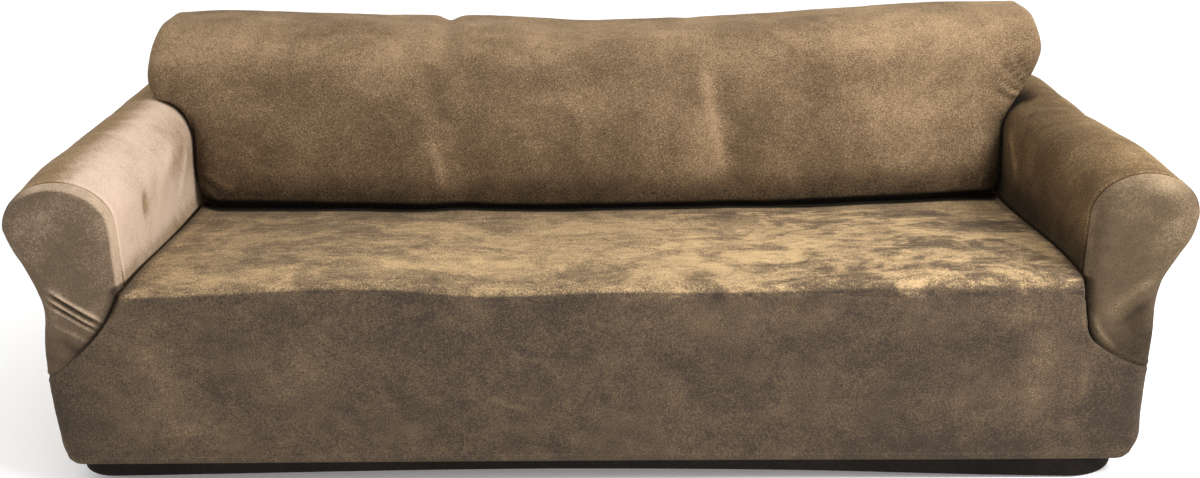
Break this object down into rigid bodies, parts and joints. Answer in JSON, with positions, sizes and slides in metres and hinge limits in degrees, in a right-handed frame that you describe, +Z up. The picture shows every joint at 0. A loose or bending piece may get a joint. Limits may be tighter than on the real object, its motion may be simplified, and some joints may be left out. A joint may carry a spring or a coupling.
{
  "type": "sofa slipcover",
  "caption": "Fitted stretch-velvet cover for a three-seat sofa with rolled arms: seat and front drop in one, high back, sewn arm faces and an elastic hem, hollow and open below.",
  "frame": {"origin": "under the middle of the cover, at the height of the lowest point of its elastic hem", "axes": "+X to the right of a person facing the front of the sofa, along its length; +Y towards the rear; +Z up"},
  "size_m": [2.2238, 0.9, 0.7737],
  "materials": {
    "velvet_seat": "golden tan stretch velvet with a short nap",
    "velvet_back": "brown stretch velvet with a short nap",
    "velvet_arm": "light brown stretch velvet with a short nap",
    "velvet_face": "taupe stretch velvet with a short nap",
    "velvet_rear": "brown stretch velvet with a short nap",
    "velvet_hem": "dark brown elastic hem"
  },
  "bodies": {
    "root": {"seat_and_front": "velvet_seat", "inside_back": "velvet_back", "outside_back": "velvet_rear", "arm_left": "velvet_arm", "arm_right": "velvet_arm", "arm_face_left": "velvet_face", "arm_face_right": "velvet_face", "back_end_left": "velvet_back", "back_end_right": "velvet_back", "elastic_hem": "velvet_hem"}
  },
  "joints": []
}
